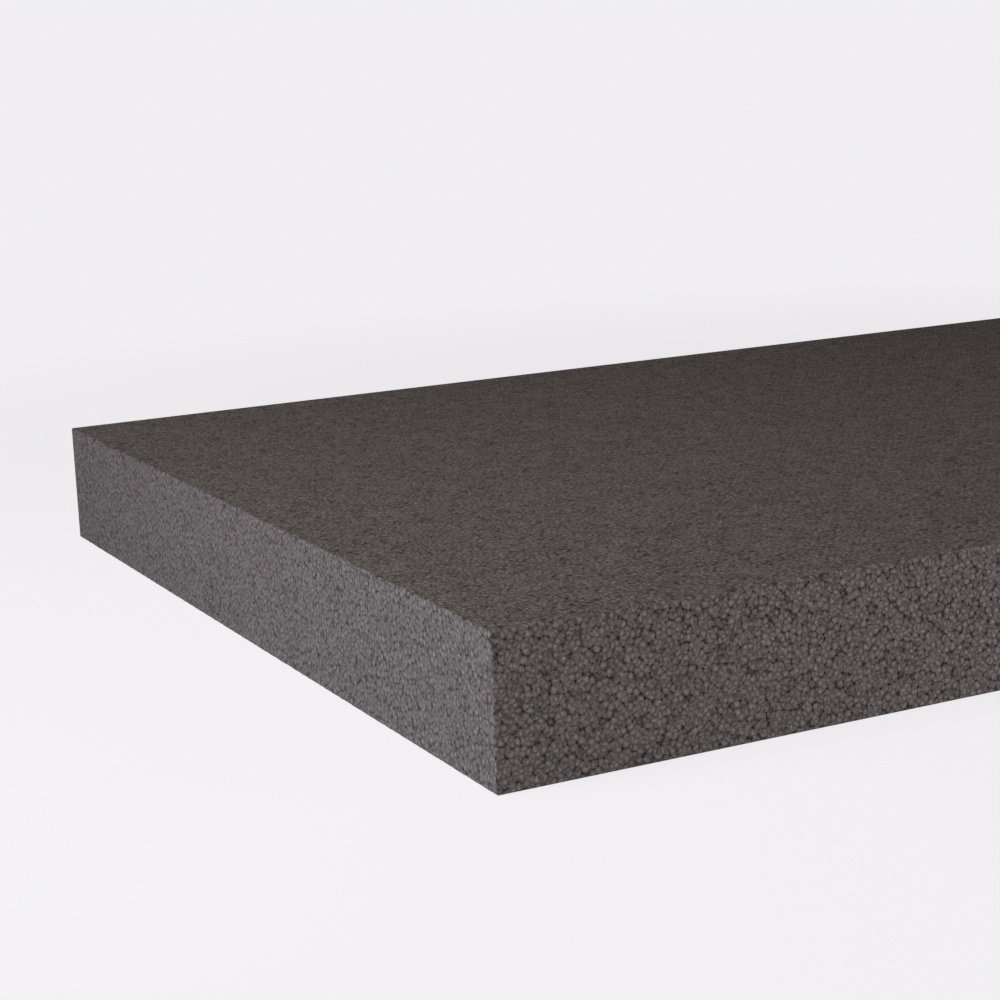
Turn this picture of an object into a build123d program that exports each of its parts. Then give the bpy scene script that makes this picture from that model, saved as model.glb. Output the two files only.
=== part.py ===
from build123d import *
import os

# One square-cut board of expanded polystyrene, lying flat on its underside.
# Its length runs along X, its width along Y and its thickness along Z.
# The origin is on the underside, in the middle of the length and the width.

board_length = 1000.0
board_width = 500.0
board_thickness = 60.0

# The outermost cells crumble where two cut faces meet, which eases every edge a little.
arris_radius = 0.5


def cut_blank():
    """The board as the hot wire leaves it: square ends, square sides and sharp edges."""
    outline = Rectangle(board_length, board_width)
    return extrude(outline, board_thickness)


def insulation_board():
    """The blank with its twelve edges eased, meeting in a small ball at each corner."""
    blank = cut_blank()
    return fillet(blank.edges(), arris_radius)


os.makedirs("parts", exist_ok=True)
export_step(insulation_board(), "parts/insulation_board.step")
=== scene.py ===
import math

import bpy
from mathutils import Matrix, Vector


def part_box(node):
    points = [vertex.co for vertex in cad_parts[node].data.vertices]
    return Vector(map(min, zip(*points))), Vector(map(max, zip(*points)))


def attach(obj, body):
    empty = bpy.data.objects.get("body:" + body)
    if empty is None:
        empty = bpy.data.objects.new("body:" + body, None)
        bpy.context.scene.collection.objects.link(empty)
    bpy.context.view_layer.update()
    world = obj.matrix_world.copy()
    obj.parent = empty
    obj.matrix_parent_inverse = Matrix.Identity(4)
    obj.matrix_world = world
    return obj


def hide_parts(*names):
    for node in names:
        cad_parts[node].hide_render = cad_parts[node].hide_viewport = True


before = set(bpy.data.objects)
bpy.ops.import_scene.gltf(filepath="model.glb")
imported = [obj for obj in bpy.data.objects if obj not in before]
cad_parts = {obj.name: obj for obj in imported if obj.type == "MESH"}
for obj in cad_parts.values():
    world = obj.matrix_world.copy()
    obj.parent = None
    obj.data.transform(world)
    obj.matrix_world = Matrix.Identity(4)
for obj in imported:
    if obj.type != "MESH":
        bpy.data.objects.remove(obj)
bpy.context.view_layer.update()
boardLow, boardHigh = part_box("insulation_board")
boardSize = boardHigh - boardLow
boardMiddle = (boardLow + boardHigh) / 2
print("frame loaded, board", [round(side, 4) for side in boardSize])


# Small helpers for building node trees

def socketNamed(sockets, name):
    return next(s for s in sockets if s.name == name and s.enabled)


def wire(tree, value, socket):
    if isinstance(value, bpy.types.Node):
        value = value.outputs[0]
    if isinstance(value, bpy.types.NodeSocket):
        tree.links.new(value, socket)
    else:
        socket.default_value = value


def put(tree, kind, values=None, **settings):
    # a node with its settings, and its inputs fed by plain values or by other nodes
    node = tree.nodes.new(kind)
    for name, value in settings.items():
        setattr(node, name, value)
    for name, value in (values or {}).items():
        wire(tree, value, socketNamed(node.inputs, name))
    return node


def calc(tree, operation, *values, clamp=False):
    node = tree.nodes.new("ShaderNodeMath")
    node.operation = operation
    node.use_clamp = clamp
    for value, socket in zip(values, node.inputs):
        wire(tree, value, socket)
    return node.outputs[0]


def calcVector(tree, operation, *values, out="Vector"):
    node = tree.nodes.new("ShaderNodeVectorMath")
    node.operation = operation
    for value, socket in zip(values, [s for s in node.inputs if s.enabled]):
        wire(tree, value, socket)
    return node.outputs[out]


def split(tree, vector):
    return put(tree, "ShaderNodeSeparateXYZ", {"Vector": vector}).outputs


def ramp(tree, value, low, high, toLow=0.0, toHigh=1.0, smooth=True):
    # takes low..high to toLow..toHigh, and holds the ends
    node = put(tree, "ShaderNodeMapRange", interpolation_type="SMOOTHSTEP" if smooth else "LINEAR")
    for name, amount in (("Value", value), ("From Min", low), ("From Max", high),
                         ("To Min", toLow), ("To Max", toHigh)):
        wire(tree, amount, socketNamed(node.inputs, name))
    return node.outputs["Result"]


def newGroup(name, kind, inputs, outputs):
    tree = bpy.data.node_groups.new(name, kind)
    for label, (socketType, value) in inputs.items():
        socket = tree.interface.new_socket(name=label, in_out="INPUT", socket_type=socketType)
        if value is not None:
            socket.default_value = value
    for label, socketType in outputs.items():
        tree.interface.new_socket(name=label, in_out="OUTPUT", socket_type=socketType)
    return tree, tree.nodes.new("NodeGroupInput").outputs, tree.nodes.new("NodeGroupOutput").inputs


def useGroup(tree, group, values):
    kind = "GeometryNodeGroup" if tree.bl_idname == "GeometryNodeTree" else "ShaderNodeGroup"
    node = tree.nodes.new(kind)
    node.node_tree = group
    for name, value in values.items():
        wire(tree, value, node.inputs[name])
    return node


def moveTo(tree, geometry, position):
    return put(tree, "GeometryNodeSetPosition", {"Geometry": geometry, "Position": position})


def rotated(tree, vector, rotation):
    return put(tree, "FunctionNodeRotateVector", {"Vector": vector, "Rotation": rotation}).outputs[0]


def joinAll(tree, *parts):
    joined = put(tree, "GeometryNodeJoinGeometry")
    for part in parts:
        tree.links.new(part.outputs[0], joined.inputs[0])
    return joined


def remember(tree, geometry, values):
    # keeps each value as it is here on the points, whatever moves them later
    node = put(tree, "GeometryNodeCaptureAttribute", {"Geometry": geometry}, domain="POINT")
    for order, (name, value) in enumerate(values.items(), 1):
        node.capture_items.new("FLOAT", name)
        wire(tree, value, node.inputs[order])
    return node


def nameAttribute(tree, geometry, name, value, kind, domain, **more):
    return put(tree, "GeometryNodeStoreNamedAttribute", {
        "Geometry": geometry, "Name": name, "Value": value, **more}, data_type=kind, domain=domain)


# The bead pattern, shared by the mesh and its material

beads = {
    "size": 0.0023,  # metres, the side of the cube that one bead would fill
    "turn": (0.54, 0.31, 0.83),  # turns the packing, so that no row of beads lines up with an edge
    "randomness": 0.83,
}


def inBeadSpace(tree, place):
    # the board's own coordinates, turned and counted in beads
    turned = put(tree, "ShaderNodeVectorRotate", {"Vector": place, "Rotation": beads["turn"]},
                 rotation_type="EULER_XYZ")
    return calcVector(tree, "SCALE", turned, 1 / beads["size"])


def beadPacking(tree, place, feature="F1"):
    return put(tree, "ShaderNodeTexVoronoi", {
        "Vector": inBeadSpace(tree, place), "Scale": 1.0, "Randomness": beads["randomness"]},
        voronoi_dimensions="3D", feature=feature)


# The board's mesh: geometry nodes

boardShape = {
    "Arris Radius": 0.0005,
    "Arris Step": 0.0026,  # length of one bit of the edge
    "Arris Crumble": 0.0005,  # how deep a void nicks the edge
    "Side Search": 0.0011,  # spacing of the points that look for voids
    "Face Search": 0.0018,
    "Side Void Start": 0.765,  # how far from the nearest bead's middle a void stands open, in beads
    "Face Void Start": 0.93,
    "Void Radius": 0.0007,  # from the middle of its mouth to a corner
    "Void Depth": 0.00045,  # of a void of that radius, and a larger one is deeper
    "Bay": 0.2,  # a face is filled in bays of this length, which is quicker than all at once
    "Seed": 7,
}
voidRules = {
    "steps": 30,  # that a point takes on its way to a void
    "firstStride": 0.2,  # in beads
    "nextStride": 0.86,  # each stride against the one before
    "meeting": 1.5,  # points that end nearer than this are one void, in void radii
    "rimClear": 1.3,  # a void stays this far from the rim of its face, in void radii
    "stray": 0.0001,  # metres off its face, where a point that ran past the edge is dropped
    "reach": (0.70, 1.0),  # from the nearest bead's middle to the smallest void and the largest, in beads
    "sizes": (0.7, 1.2),  # how large those two are, in void radii
    "gapShare": 0.45,  # the most of the way to its neighbour's middle that a void takes up
    "nickReach": (0.45, 1.0),  # in beads, where an arris starts to be nicked, and is nicked fully
}
smallGap = 0.000004  # metres, within which points are one
floatInput, intInput, vectorInput, meshInput = (
    "NodeSocketFloat", "NodeSocketInt", "NodeSocketVector", "NodeSocketGeometry")


def easedBlock():
    # a block of quads whose edges and corners are eased, with its flat parts set apart
    tree, given, result = newGroup("Eased Block", "GeometryNodeTree", {
        "Size": (vectorInput, tuple(boardSize)),
        "Arris Radius": (floatInput, boardShape["Arris Radius"]),
        "Arris Step": (floatInput, boardShape["Arris Step"])}, {"Flats": meshInput, "Arrises": meshInput})
    bothArrises = calc(tree, "MULTIPLY", given["Arris Radius"], 2.0)
    flatSize = calcVector(tree, "SUBTRACT", given["Size"], bothArrises)
    # the nearest whole number of steps along each side
    steps = calcVector(tree, "DIVIDE", flatSize, given["Arris Step"])
    steps = calcVector(tree, "FLOOR", calcVector(tree, "ADD", steps, (0.5, 0.5, 0.5)))

    # a block with a quad for each step, and one more all round for the arrises
    count = split(tree, calcVector(tree, "ADD", steps, (3.0, 3.0, 3.0)))
    block = put(tree, "GeometryNodeMeshCube", {
        "Size": calcVector(tree, "ADD", steps, (2.0, 2.0, 2.0)),
        "Vertices X": count[0], "Vertices Y": count[1], "Vertices Z": count[2]})
    place = put(tree, "GeometryNodeInputPosition")
    half = calcVector(tree, "SCALE", steps, 0.5)
    inner = calcVector(tree, "MAXIMUM", calcVector(tree, "MINIMUM", place, half),
                       calcVector(tree, "SCALE", half, -1.0))
    outer = calcVector(tree, "SUBTRACT", place, inner)
    # a point of a flat face stands out by 1, and one in the middle of an arris by more
    onArris = calc(tree, "GREATER_THAN", calcVector(tree, "LENGTH", outer, out="Value"), 1.2)
    kept = remember(tree, block, {"on arris": onArris})
    flatPlace = calcVector(tree, "MULTIPLY", inner, calcVector(tree, "DIVIDE", flatSize, steps))
    rounding = calcVector(tree, "SCALE", calcVector(tree, "NORMALIZE", outer), given["Arris Radius"])
    sized = moveTo(tree, kept, calcVector(tree, "ADD", flatPlace, rounding))
    # a quad with such a point at any of its corners belongs to the arrises
    apart = put(tree, "GeometryNodeSeparateGeometry", {
        "Geometry": sized, "Selection": calc(tree, "GREATER_THAN", kept.outputs[1], 0.1)}, domain="FACE")
    wire(tree, apart.outputs["Inverted"], result["Flats"])
    wire(tree, apart.outputs["Selection"], result["Arrises"])
    return tree


def inBays(tree, face, flat, length):
    # the face's bays, each with a number and an outline of its own
    bays = split(tree, calcVector(tree, "FLOOR", calcVector(tree, "DIVIDE", flat, length)))
    rowStart = 100.0  # more than the bays in a row
    bayNumber = calc(tree, "MULTIPLY_ADD", bays[1], rowStart, bays[0])
    numbered = nameAttribute(tree, face, "bay", bayNumber, "INT", "FACE")
    bay = put(tree, "GeometryNodeInputNamedAttribute", {"Name": "bay"}, data_type="INT")
    cut = put(tree, "GeometryNodeSplitToInstances", {"Geometry": numbered, "Group ID": bay}, domain="FACE")
    panels = put(tree, "GeometryNodeRealizeInstances", {"Geometry": cut})
    rim = put(tree, "FunctionNodeCompare", {
        "A": put(tree, "GeometryNodeInputMeshEdgeNeighbors"), "B": 1}, data_type="INT", operation="EQUAL")
    outline = put(tree, "GeometryNodeMeshToCurve", {"Mesh": panels, "Selection": rim})
    return panels, outline, bay


def fromNearestBead(tree, place):
    # points from the nearest bead's middle to this place
    nearest = beadPacking(tree, place)
    away = calcVector(tree, "SUBTRACT", inBeadSpace(tree, place), nearest.outputs["Position"])
    return put(tree, "ShaderNodeVectorRotate", {"Vector": away, "Rotation": beads["turn"]},
               rotation_type="EULER_XYZ", invert=True).outputs[0]


def climbToVoids(tree, face, away, given):
    # points strewn over the face, so many that only their spacing limits them,
    # climb to the places farthest from any bead's middle
    strewn = put(tree, "GeometryNodeDistributePointsOnFaces", {
        "Mesh": face, "Distance Min": given["Search"], "Density Max": 1.0e6, "Seed": given["Seed"]},
        distribute_method="POISSON")
    climb = tree.nodes.new("GeometryNodeRepeatInput")
    climbed = tree.nodes.new("GeometryNodeRepeatOutput")
    climb.pair_with_output(climbed)
    wire(tree, voidRules["steps"], climb.inputs["Iterations"])
    wire(tree, strewn.outputs["Points"], climb.inputs["Geometry"])
    alongFace = calcVector(tree, "SUBTRACT", away, calcVector(tree, "PROJECT", away, given["Normal"]))
    shrink = calc(tree, "POWER", voidRules["nextStride"], climb.outputs["Iteration"])
    stride = calc(tree, "MULTIPLY", beads["size"] * voidRules["firstStride"], shrink)
    step = calcVector(tree, "SCALE", calcVector(tree, "NORMALIZE", alongFace), stride)
    moved = put(tree, "GeometryNodeSetPosition", {"Geometry": climb.outputs["Geometry"], "Offset": step})
    wire(tree, moved, climbed.inputs["Geometry"])
    return climbed.outputs["Geometry"]


def keepOpenVoids(tree, points, face, outline, reach, given):
    # points that met are one void, and those by the rim are left to the arris
    met = put(tree, "GeometryNodeMergeByDistance", {
        "Geometry": points, "Distance": calc(tree, "MULTIPLY", given["Void Radius"], voidRules["meeting"])})
    rim = put(tree, "GeometryNodeCurveToMesh", {"Curve": outline})
    toRim = put(tree, "GeometryNodeProximity", {"Geometry": rim}, target_element="EDGES")
    offFace = put(tree, "GeometryNodeProximity", {"Geometry": face})
    closed = calc(tree, "LESS_THAN", reach, given["Void Start"])
    byRim = calc(tree, "LESS_THAN", toRim.outputs["Distance"], calc(
        tree, "MULTIPLY", given["Void Radius"], voidRules["rimClear"]))
    strayed = calc(tree, "GREATER_THAN", offFace.outputs["Distance"], voidRules["stray"])
    unwanted = calc(tree, "MAXIMUM", calc(tree, "MAXIMUM", closed, byRim), strayed)
    return put(tree, "GeometryNodeDeleteGeometry", {"Geometry": met, "Selection": unwanted}, domain="POINT")


def voidSize(tree, place, reach, radius):
    # each void's own radius, held apart from its neighbour's
    neighbour = put(tree, "GeometryNodeIndexOfNearest").outputs["Index"]
    neighbourPlace = put(tree, "GeometryNodeFieldAtIndex", {"Index": neighbour, "Value": place},
                         data_type="FLOAT_VECTOR", domain="POINT")
    gap = calcVector(tree, "DISTANCE", place, neighbourPlace, out="Value")
    size = ramp(tree, reach, *voidRules["reach"], *voidRules["sizes"], smooth=False)
    return calc(tree, "MINIMUM", calc(tree, "MULTIPLY", size, radius),
                calc(tree, "MULTIPLY", gap, voidRules["gapShare"]))


def voidFunnel(tree, place, depth):
    # three walls that run from an open mouth of radius 1 down to a point, which is marked hollow
    funnel = put(tree, "GeometryNodeMeshCone", {
        "Vertices": 3, "Radius Top": 1.0, "Radius Bottom": 0.0, "Depth": depth}, fill_type="NONE")
    sunk = put(tree, "GeometryNodeTransform", {
        "Geometry": put(tree, "GeometryNodeFlipFaces", {"Mesh": funnel.outputs["Mesh"]}),
        "Translation": put(tree, "ShaderNodeCombineXYZ", {"Z": calc(tree, "MULTIPLY", depth, -1.0)})})
    deep = calc(tree, "LESS_THAN", split(tree, place)[2], calc(tree, "MULTIPLY", depth, -0.5))
    return nameAttribute(tree, sunk, "hollow", 1.0, "FLOAT", "POINT", Selection=deep)


def cutFace():
    # one flat face of the board, let in wherever the cut has opened a void between the beads
    shapeInputs = {name: (floatInput, boardShape[name]) for name in ("Void Radius", "Void Depth", "Bay")}
    tree, given, result = newGroup("Cut Face", "GeometryNodeTree", {
        "Flats": (meshInput, None), "Normal": (vectorInput, (0, 0, 1)), "Across": (vectorInput, (1, 0, 0)),
        "Middle": (vectorInput, (0, 0, 0)), "Finish": (floatInput, 0.0),
        "Search": (floatInput, boardShape["Side Search"]),
        "Void Start": (floatInput, boardShape["Side Void Start"]),
        **shapeInputs, "Seed": (intInput, 0)}, {"Face": meshInput})
    place = put(tree, "GeometryNodeInputPosition").outputs[0]
    turn = put(tree, "FunctionNodeAxesToRotation", {
        "Primary Axis": given["Normal"], "Secondary Axis": given["Across"]},
        primary_axis="Z", secondary_axis="X").outputs[0]
    unturn = put(tree, "FunctionNodeInvertRotation", {"Rotation": turn})
    flat = rotated(tree, calcVector(tree, "SUBTRACT", place, given["Middle"]), unturn)
    back = calcVector(tree, "ADD", rotated(tree, place, turn), given["Middle"])
    normal = put(tree, "GeometryNodeInputNormal")
    facing = calcVector(tree, "DOT_PRODUCT", normal, given["Normal"], out="Value")
    face = put(tree, "GeometryNodeSeparateGeometry", {
        "Geometry": given["Flats"], "Selection": calc(tree, "GREATER_THAN", facing, 0.9)}, domain="FACE")
    panels, outline, bay = inBays(tree, face, flat, given["Bay"])

    away = fromNearestBead(tree, place)
    reach = beadPacking(tree, place).outputs["Distance"]
    points = climbToVoids(tree, face, away, given)
    voids = keepOpenVoids(tree, points, face, outline, reach, given)
    inBay = put(tree, "GeometryNodeSampleNearestSurface", {"Mesh": panels, "Value": bay}, data_type="INT")
    # a corner of the void points away from the nearest bead, into the seam between the other two
    seam = split(tree, rotated(tree, away, unturn))
    marked = remember(tree, nameAttribute(tree, voids, "bay", inBay, "INT", "POINT"), {
        "size": voidSize(tree, place, reach, given["Void Radius"]),
        "spin": calc(tree, "ARCTAN2", seam[1], seam[0])})

    # laid flat, filled round the voids, and turned back
    flatOutline = moveTo(tree, outline, flat)
    flatVoids = moveTo(tree, marked, flat)
    angle = put(tree, "ShaderNodeCombineXYZ", {"Z": marked.outputs[2]})
    spun = put(tree, "FunctionNodeEulerToRotation", {"Euler": angle})
    depth = calc(tree, "DIVIDE", given["Void Depth"], given["Void Radius"])
    mouth = put(tree, "GeometryNodeCurvePrimitiveCircle", {"Resolution": 3, "Radius": 1.0})
    mouths, funnels = [
        put(tree, "GeometryNodeRealizeInstances", {"Geometry": put(tree, "GeometryNodeInstanceOnPoints", {
            "Points": flatVoids, "Instance": shape, "Rotation": spun, "Scale": marked.outputs[1]})})
        for shape in (mouth, voidFunnel(tree, place, depth))]
    rings = joinAll(tree, mouths, flatOutline)
    sheet = put(tree, "GeometryNodeFillCurve", {"Curve": rings, "Group ID": bay}, mode="TRIANGLES")
    raised = moveTo(tree, joinAll(tree, funnels, sheet), back)
    wire(tree, nameAttribute(tree, raised, "finish", given["Finish"], "FLOAT", "FACE"), result["Face"])
    return tree


# which way a face looks, a direction along it, and its finish:
# 0 a sawn side, 0.5 a cut end, 1 a smooth face
boardFaces = {
    "upper face": ((0, 0, 1), (1, 0, 0), 1.0),
    "underside": ((0, 0, -1), (1, 0, 0), 1.0),
    "front side": ((0, -1, 0), (1, 0, 0), 0.0),
    "back side": ((0, 1, 0), (-1, 0, 0), 0.0),
    "left end": ((-1, 0, 0), (0, -1, 0), 0.5),
    "right end": ((1, 0, 0), (0, 1, 0), 0.5),
}


def nickArrises(tree, board, given):
    # where an arris runs through a gap between the beads, it is nicked
    place = put(tree, "GeometryNodeInputPosition").outputs[0]
    half = calcVector(tree, "SCALE", given["Size"], 0.5)
    fromMiddle = calcVector(tree, "ABSOLUTE", calcVector(tree, "SUBTRACT", place, given["Middle"]))
    inset = calcVector(tree, "SUBTRACT", half, fromMiddle)
    # only the middle of an arris lies this near to two faces
    nearFaces = calcVector(tree, "SIGN", calcVector(
        tree, "SUBTRACT", calc(tree, "MULTIPLY", given["Arris Radius"], 0.5), inset))
    onArris = calc(tree, "GREATER_THAN", calcVector(
        tree, "DOT_PRODUCT", nearFaces, (1.0, 1.0, 1.0), out="Value"), 0.0)
    reach = beadPacking(tree, place).outputs["Distance"]
    nick = calc(tree, "MULTIPLY", ramp(tree, reach, *voidRules["nickReach"]), given["Arris Crumble"])
    normal = put(tree, "GeometryNodeInputNormal")
    inwards = calcVector(tree, "SCALE", normal, calc(tree, "MULTIPLY", nick, -1.0))
    return put(tree, "GeometryNodeSetPosition", {
        "Geometry": board, "Selection": onArris, "Offset": inwards})


def beadBoardTree():
    # the eased block with its six flat faces cut open, welded shut again, nicked and given its finish
    shapeInputs = {name: (intInput if name == "Seed" else floatInput, value)
                   for name, value in boardShape.items()}
    tree, given, result = newGroup("Bead Board", "GeometryNodeTree", {
        "Size": (vectorInput, tuple(boardSize)), "Middle": (vectorInput, tuple(boardMiddle)),
        **shapeInputs, "Material": ("NodeSocketMaterial", None)}, {"Board": meshInput})
    block = useGroup(tree, easedBlock(), {
        name: given[name] for name in ("Size", "Arris Radius", "Arris Step")})
    flats, arrises = [
        put(tree, "GeometryNodeSetPosition", {"Geometry": block.outputs[part], "Offset": given["Middle"]})
        for part in ("Flats", "Arrises")]
    half = calcVector(tree, "SCALE", given["Size"], 0.5)
    face = cutFace()
    parts = [arrises]
    for order, (name, (normal, across, finish)) in enumerate(boardFaces.items()):
        kind = "Face" if finish == 1.0 else "Side"
        made = useGroup(tree, face, {
            "Flats": flats, "Normal": normal, "Across": across, "Finish": finish,
            "Middle": calcVector(tree, "MULTIPLY_ADD", half, normal, given["Middle"]),
            "Search": given[kind + " Search"], "Void Start": given[kind + " Void Start"],
            "Void Radius": given["Void Radius"], "Void Depth": given["Void Depth"], "Bay": given["Bay"],
            "Seed": calc(tree, "ADD", given["Seed"], float(order))})
        made.label = name
        parts.append(made)
    closed = put(tree, "GeometryNodeMergeByDistance", {
        "Geometry": joinAll(tree, *parts), "Distance": smallGap})
    real = put(tree, "GeometryNodeRealizeInstances", {"Geometry": nickArrises(tree, closed, given)})
    dressed = put(tree, "GeometryNodeSetMaterial", {"Geometry": real, "Material": given["Material"]})
    wire(tree, dressed, result["Board"])
    return tree


def makeBoard(material):
    piece = bpy.data.objects.new("boardMaker", bpy.data.meshes.new("boardMaker"))
    bpy.context.scene.collection.objects.link(piece)
    maker = piece.modifiers.new("beadBoard", "NODES")
    maker.node_group = beadBoardTree()
    values = dict(boardShape, Size=boardSize, Middle=boardMiddle, Material=material)
    for item in maker.node_group.interface.items_tree:
        if item.in_out == "INPUT" and item.name in values:
            maker[item.identifier] = values[item.name]
    graph = bpy.context.evaluated_depsgraph_get()
    mesh = bpy.data.meshes.new_from_object(piece.evaluated_get(graph))
    mesh.name = "insulationBoard"
    board = bpy.data.objects.new("insulationBoard", mesh)
    bpy.context.scene.collection.objects.link(board)
    bpy.data.objects.remove(piece)
    mesh.attributes.remove(mesh.attributes["bay"])  # only the filling needs it
    print("board made,", len(mesh.polygons), "faces")
    return board


# The foam's finish

foam = {
    "tone": (0.100, 0.087, 0.085),  # colour of the fused beads
    "hollow": (0.018, 0.016, 0.015),  # painted shade deep in a void, in place of the shadow there
    "roughness": 0.92,
    "sheen": 0.02,  # specular level, low because the cut cells scatter the light
    "glintGloss": 0.3,  # how much smoother a glint is
    "crownWidth": 0.42,  # from a seam to the top of a bead's dome, in beads
    "seamWidth": 0.13,
    "gape": (0.35, 1.0),  # how dark the tightest seams are, and the widest
    "gapesPerBead": 2.0,
    "gapeNoise": (0.40, 0.60),  # the noise that makes a seam tight, and wide
    "paintedDomeLight": (0.15, 0.80),  # how far from its middle the painted light on a bead's dome starts to fade, and ends
    "paintedDomeLightMean": 0.25,  # about the average over a face, so that the painted dome light doesn't lighten it
    "paintedDomeLightAmount": 1.0,
    "pit": (0.66, 0.82),  # how far from the nearest bead's middle a pit starts, and is full
    "beadTones": 0.35,  # spread of tones from bead to bead
    "blotches": 1.6,  # spread of tones where torn cells catch the light
    "blotchSize": 0.0013,  # metres, and so are the other sizes
    "cellSize": 0.0008,
    "glintSize": 0.0009,
    "mottleSize": 0.007,
    "glintEdge": (0.25, 0.55),  # where a glint starts to fade, and ends, in its own cell
    "glintLeast": 0.4,  # how much the faintest glint lightens the foam
    "glintRange": 1.1,  # from the faintest glint to the brightest
    "voidEdge": 0.45,  # how far down a void's wall its painted shade is reached
    "cellHeight": 0.15,  # against a bead's dome
    "pitDepth": 0.8,
    "bumpDistance": 0.0004,
    "bumpStrength": 0.6,
}
finishes = {
    # on a sawn side, a cut end and a smooth face
    "Bead Contrast": (0.62, 0.50, 0.62),
    "Seam Depth": (0.22, 0.15, 0.22),
    # painted shade in the pits between the beads, least on the cut end
    "Pit Shade": (0.42, 0.30, 0.40),
    "Grain": (0.20, 0.20, 0.24),
    "Glints": (0.09, 0.11, 0.11),
    "Mottle": (0.10, 0.10, 1.10),
}


def addAround(tree, light, value, mean, amount):
    # lightens where the value is above its mean, and darkens where it is below
    return calc(tree, "MULTIPLY_ADD", calc(tree, "SUBTRACT", value, mean), amount, light)


def dim(tree, light, mask, share):
    return calc(tree, "MULTIPLY", light, calc(tree, "SUBTRACT", 1.0, calc(tree, "MULTIPLY", mask, share)))


def noise(tree, place, scale, detail=0.0, roughness=0.5):
    return put(tree, "ShaderNodeTexNoise", {
        "Vector": place, "Scale": scale, "Detail": detail, "Roughness": roughness}).outputs["Fac"]


def smallCells(tree, place, size):
    # distance from the middle of the nearest cell, and three random values for each cell
    cells = put(tree, "ShaderNodeTexVoronoi", {"Vector": place, "Scale": 1 / size}, voronoi_dimensions="3D")
    values = put(tree, "ShaderNodeSeparateColor", {"Color": cells.outputs["Color"]})
    return cells.outputs["Distance"], values.outputs


def beadFoamGroup():
    # colours, roughness and height of cut bead foam, from the packing that the mesh is made with
    finishInputs = {name: (floatInput, values[0]) for name, values in finishes.items()}
    tree, given, result = newGroup("Bead Foam", "ShaderNodeTree", {
        "Tone": ("NodeSocketColor", (*foam["tone"], 1)),
        "Void Shade": ("NodeSocketColor", (*foam["hollow"], 1)),
        "Void": (floatInput, 0.0), **finishInputs},
        {"Color": "NodeSocketColor", "Roughness": floatInput, "Height": floatInput})
    place = put(tree, "ShaderNodeTexCoord").outputs["Object"]
    packing = beadPacking(tree, place)
    toMiddle = packing.outputs["Distance"]
    toSeam = beadPacking(tree, place, "DISTANCE_TO_EDGE").outputs["Distance"]
    beadTone = put(tree, "ShaderNodeSeparateColor", {"Color": packing.outputs["Color"]}).outputs[0]
    crown = ramp(tree, toSeam, 0.0, foam["crownWidth"])
    pit = ramp(tree, toMiddle, *foam["pit"])
    # painted light: the middle of each bead's dome is lightened as if lit from above, most where the cut
    # passes near the bead's middle
    paintedDomeLight = calc(tree, "MULTIPLY", crown, ramp(tree, toMiddle, *foam["paintedDomeLight"], 1.0, 0.0))
    # some seams are fused shut, and others gape
    gapeNoise = noise(tree, inBeadSpace(tree, place), foam["gapesPerBead"])
    gape = ramp(tree, gapeNoise, *foam["gapeNoise"], *foam["gape"])
    seam = calc(tree, "MULTIPLY", ramp(tree, toSeam, 0.0, foam["seamWidth"], 1.0, 0.0), gape)

    # torn cells inside the beads, a few painted glints, and blotches and mottling over them all
    cellTone = smallCells(tree, place, foam["cellSize"])[1]
    toSpark, spark = smallCells(tree, place, foam["glintSize"])
    # a glint is a painted highlight in the colour, and it also makes the foam a little less rough
    glint = calc(tree, "MULTIPLY", ramp(tree, toSpark, *foam["glintEdge"], 1.0, 0.0),
                 calc(tree, "LESS_THAN", spark[0], given["Glints"]))
    glint = calc(tree, "MULTIPLY", glint, calc(
        tree, "MULTIPLY_ADD", spark[1], foam["glintRange"], foam["glintLeast"]))
    mottle = noise(tree, place, 1 / foam["mottleSize"], detail=3.0, roughness=0.7)
    blotch = noise(tree, place, 1 / foam["blotchSize"])

    change = addAround(tree, 0.0, beadTone, 0.5, foam["beadTones"])
    change = addAround(tree, change, paintedDomeLight, foam["paintedDomeLightMean"], foam["paintedDomeLightAmount"])
    change = addAround(tree, change, blotch, 0.5, foam["blotches"])
    light = calc(tree, "MULTIPLY_ADD", change, given["Bead Contrast"], 1.0)
    light = addAround(tree, light, cellTone[0], 0.5, given["Grain"])
    light = addAround(tree, light, mottle, 0.5, given["Mottle"])
    light = dim(tree, calc(tree, "ADD", light, glint), seam, given["Seam Depth"])
    # painted shade in the pits between the beads, where the bump casts no shadow
    light = dim(tree, light, pit, given["Pit Shade"])
    shade = put(tree, "ShaderNodeVectorMath", {"Vector": given["Tone"], "Scale": light}, operation="SCALE")
    # down a void's wall the colour goes over to the painted shade deep inside it
    colour = put(tree, "ShaderNodeMix", {
        "Factor": ramp(tree, given["Void"], 0.0, foam["voidEdge"]), "A": shade, "B": given["Void Shade"]},
        data_type="RGBA")
    wire(tree, socketNamed(colour.outputs, "Result"), result["Color"])
    gloss = calc(tree, "MULTIPLY", glint, foam["glintGloss"], clamp=True)
    wire(tree, calc(tree, "SUBTRACT", foam["roughness"], gloss), result["Roughness"])
    height = calc(tree, "MULTIPLY_ADD", cellTone[2], foam["cellHeight"], crown)
    height = calc(tree, "SUBTRACT", height, calc(tree, "MULTIPLY", pit, foam["pitDepth"]))
    wire(tree, height, result["Height"])
    return tree


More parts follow.
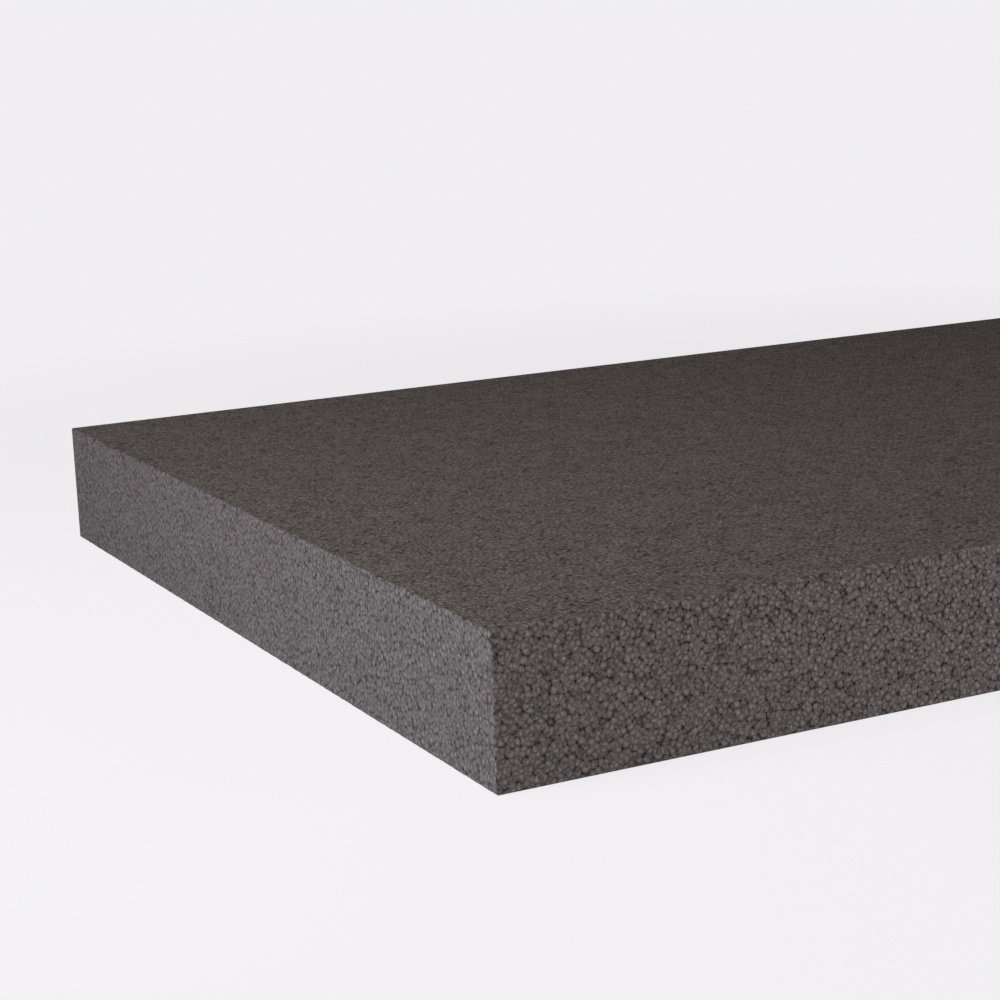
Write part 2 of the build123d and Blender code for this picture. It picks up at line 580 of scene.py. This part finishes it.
def foamMaterial():
    material = bpy.data.materials.new("darkBeadFoam")
    material.use_nodes = True
    tree = material.node_tree
    tree.nodes.clear()
    finish, void = [
        put(tree, "ShaderNodeAttribute", attribute_name=name, attribute_type="GEOMETRY").outputs["Fac"]
        for name in ("finish", "hollow")]
    values = {"Void": void}
    for name, (side, end, face) in finishes.items():
        fromEnd = ramp(tree, finish, 0.5, 1.0, 0.0, face - end, smooth=False)
        values[name] = calc(tree, "ADD", ramp(tree, finish, 0.0, 0.5, side, end, smooth=False), fromEnd)
    look = useGroup(tree, beadFoamGroup(), values).outputs
    bump = put(tree, "ShaderNodeBump", {
        "Strength": foam["bumpStrength"], "Distance": foam["bumpDistance"], "Height": look["Height"]})
    surface = put(tree, "ShaderNodeBsdfPrincipled", {
        "Base Color": look["Color"], "Roughness": look["Roughness"], "Normal": bump,
        "IOR": 1.45, "Specular IOR Level": foam["sheen"]})
    put(tree, "ShaderNodeOutputMaterial", {"Surface": surface})
    print("foam finish made")
    return material


board = makeBoard(foamMaterial())
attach(board, "root")
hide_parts("insulation_board")


# Floor, lights and camera

studio = {
    "floorRadius": 14.0,
    "floorHeight": -0.0001,  # a hair under the board, so that the two don't share a plane
    "shadowRadius": 0.55,  # the floor shows the lamps' light and shadow most within this
    "litRadius": 1.1,  # past this the floor is as even as the sky behind it
    "paleTone": (0.871, 0.855, 0.880),
    "floorTone": (0.80, 0.80, 0.80),  # what the floor throws back on the board
    "shadowShare": 0.12,  # how much of the pale floor is lit, the rest being even
    "floorLevel": 0.80,  # how brightly the lamps and the sky light the floor
    "skyTone": (1.0, 0.91, 0.74),
    "skyStrength": 0.09,
}


def paleWhereSeen(tree, seen, unseen):
    # what the camera, a mirror or glass sees, against what lights the board
    path = put(tree, "ShaderNodeLightPath")
    direct = calc(tree, "MAXIMUM", path.outputs["Is Camera Ray"], calc(
        tree, "MAXIMUM", path.outputs["Is Glossy Ray"], path.outputs["Is Transmission Ray"]))
    mix = tree.nodes.new("ShaderNodeMixShader")
    wire(tree, direct, mix.inputs[0])
    wire(tree, unseen, mix.inputs[1])
    wire(tree, seen, mix.inputs[2])
    return mix


def floorMaterial():
    material = bpy.data.materials.new("paleFloor")
    material.use_nodes = True
    tree = material.node_tree
    tree.nodes.clear()
    distance = calcVector(tree, "LENGTH", put(tree, "ShaderNodeTexCoord").outputs["Object"], out="Value")
    share = ramp(tree, distance, studio["shadowRadius"], studio["litRadius"], studio["shadowShare"], 0.0)
    litTone = calcVector(tree, "SCALE", studio["paleTone"], share)
    lit = put(tree, "ShaderNodeBsdfDiffuse", {"Color": litTone})
    evenShare = calc(tree, "SUBTRACT", 1.0, calc(tree, "MULTIPLY", share, studio["floorLevel"]))
    even = put(tree, "ShaderNodeEmission", {"Color": (*studio["paleTone"], 1), "Strength": evenShare})
    seen = tree.nodes.new("ShaderNodeAddShader")
    wire(tree, lit, seen.inputs[0])
    wire(tree, even, seen.inputs[1])
    unseen = put(tree, "ShaderNodeBsdfDiffuse", {"Color": (*studio["floorTone"], 1)})
    put(tree, "ShaderNodeOutputMaterial", {"Surface": paleWhereSeen(tree, seen, unseen)})
    return material


def makeFloor(corners=96):
    mesh = bpy.data.meshes.new("studioFloor")
    rim = [(studio["floorRadius"] * math.cos(a), studio["floorRadius"] * math.sin(a), studio["floorHeight"])
           for a in (math.tau * i / corners for i in range(corners))]
    mesh.from_pydata(rim, [], [tuple(range(corners))])
    mesh.materials.append(floorMaterial())
    floor = bpy.data.objects.new("studioFloor", mesh)
    bpy.context.scene.collection.objects.link(floor)


def makeSky():
    world = bpy.data.worlds.new("paleStudio")
    world.use_nodes = True
    tree = world.node_tree
    tree.nodes.clear()
    seen = put(tree, "ShaderNodeBackground", {"Color": (*studio["paleTone"], 1), "Strength": 1.0})
    unseen = put(tree, "ShaderNodeBackground", {
        "Color": (*studio["skyTone"], 1), "Strength": studio["skyStrength"]})
    put(tree, "ShaderNodeOutputWorld", {"Surface": paleWhereSeen(tree, seen, unseen)})
    bpy.context.scene.world = world


softboxes = {
    # place, what it points at, width, height, how wide its light spreads in degrees, watts, colour
    "leftSoftbox": ((-1.5, -0.3, 0.4), (-0.5, -0.4, 0.03), 0.9, 0.8, 180, 16.0, (0.93, 1.01, 1.16)),
    "frontSoftbox": ((1.15, -1.1, 0.1), (0.35, -0.25, 0.03), 0.9, 0.18, 70, 7.2, (1.0, 0.97, 0.99)),
    "topSoftbox": ((-0.85, -0.2, 0.95), (-0.35, 0.0, 0.06), 0.7, 0.7, 180, 6.3, (1.0, 0.95, 0.80)),
}


def makeLamps():
    for name, (place, target, width, height, spread, watts, colour) in softboxes.items():
        lamp = bpy.data.lights.new(name, "AREA")
        lamp.shape = "RECTANGLE"
        lamp.size = width
        lamp.size_y = height
        lamp.spread = math.radians(spread)
        lamp.energy = watts
        lamp.color = colour
        holder = bpy.data.objects.new(name, lamp)
        bpy.context.scene.collection.objects.link(holder)
        holder.location = place
        holder.rotation_euler = (Vector(target) - Vector(place)).to_track_quat("-Z", "Y").to_euler()


# where the photograph was taken from, worked out from the board's edges in it
photoView = {
    "fromFrontCorner": (-0.3358, -0.6805, 0.2687),  # metres from the board's lower front corner
    "heading": 26.645,  # degrees from the board's width towards its length
    "down": 12.066,  # degrees, as the roll is
    "roll": -2.286,
    "focal": 2.26845,  # in picture widths
    "sensor": 36.0,  # millimetres
}


def makeCamera():
    lens = bpy.data.cameras.new("photoCamera")
    lens.sensor_width = photoView["sensor"]
    lens.lens = photoView["focal"] * lens.sensor_width
    lens.clip_start = 0.01
    lens.clip_end = 60.0
    camera = bpy.data.objects.new("photoCamera", lens)
    bpy.context.scene.collection.objects.link(camera)
    camera.matrix_world = (
        Matrix.Translation(boardLow + Vector(photoView["fromFrontCorner"]))
        @ Matrix.Rotation(math.radians(-photoView["heading"]), 4, "Z")
        @ Matrix.Rotation(math.radians(90 - photoView["down"]), 4, "X")
        @ Matrix.Rotation(math.radians(photoView["roll"]), 4, "Z"))
    bpy.context.scene.camera = camera


makeFloor()
makeSky()
makeLamps()
makeCamera()
bpy.context.scene.view_settings.view_transform = "Standard"
print("studio set")
